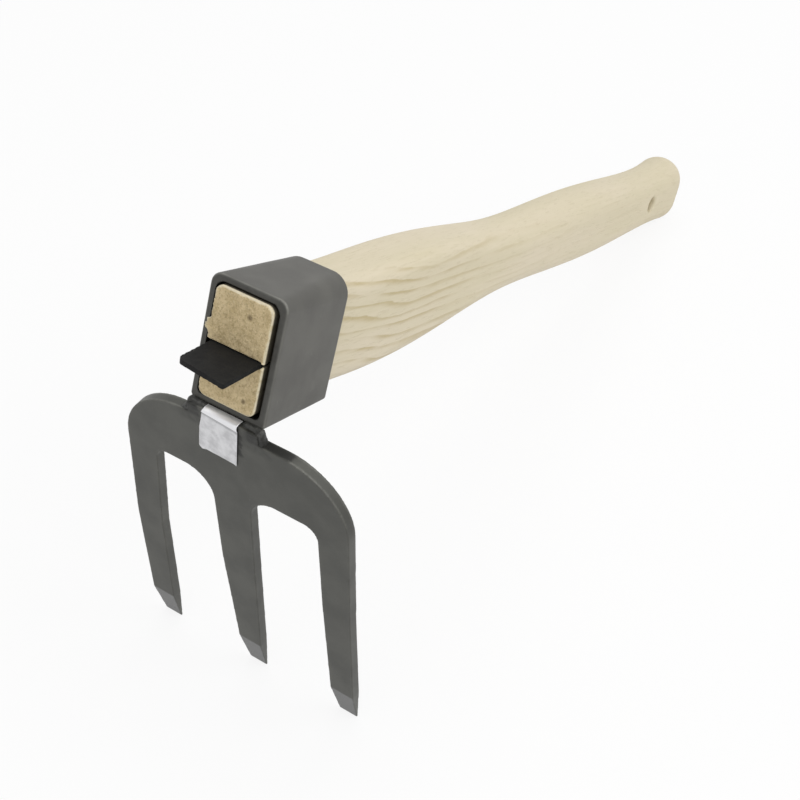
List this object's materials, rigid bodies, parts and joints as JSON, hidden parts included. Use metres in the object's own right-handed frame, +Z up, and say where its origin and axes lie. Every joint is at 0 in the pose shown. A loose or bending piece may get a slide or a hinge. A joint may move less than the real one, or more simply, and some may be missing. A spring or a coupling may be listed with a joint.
{
  "type": "hand cultivator",
  "caption": "Short-handled hand cultivator: a wooden handle wedged into a square steel eye, with a flat sheet-steel fork of pointed tines hanging down across its front.",
  "frame": {"origin": "middle of the tool's footprint on the ground, when it rests on the points of its tines and the butt of its handle", "axes": "+X along the ground from the fork towards the handle's butt, +Y to the left of someone who looks at the front of the fork, +Z up"},
  "size_m": [0.3818, 0.0996, 0.1856],
  "materials": {
    "handle_wood": "sanded, unvarnished",
    "eye_steel": "dark forged, worn at its edges",
    "plate_steel": "dark mill scale, ground bright at the points",
    "wedge_steel": "matte black",
    "label_foil": "satin foil, blank",
    "weld_steel": "rough, blackened"
  },
  "bodies": {
    "tool": {"handle": "handle_wood", "eye_band": "eye_steel", "fork_plate": "plate_steel", "neck_label": "label_foil", "weld_left": "weld_steel", "weld_right": "weld_steel", "weld_rear": "weld_steel"},
    "wedge": {"wedge": "wedge_steel"}
  },
  "joints": [
    {"name": "wedge_drive", "type": "slide", "parent": "tool", "child": "wedge", "axis": [0.957, 0, -0.2901], "range_m": [0, 0.014]}
  ]
}
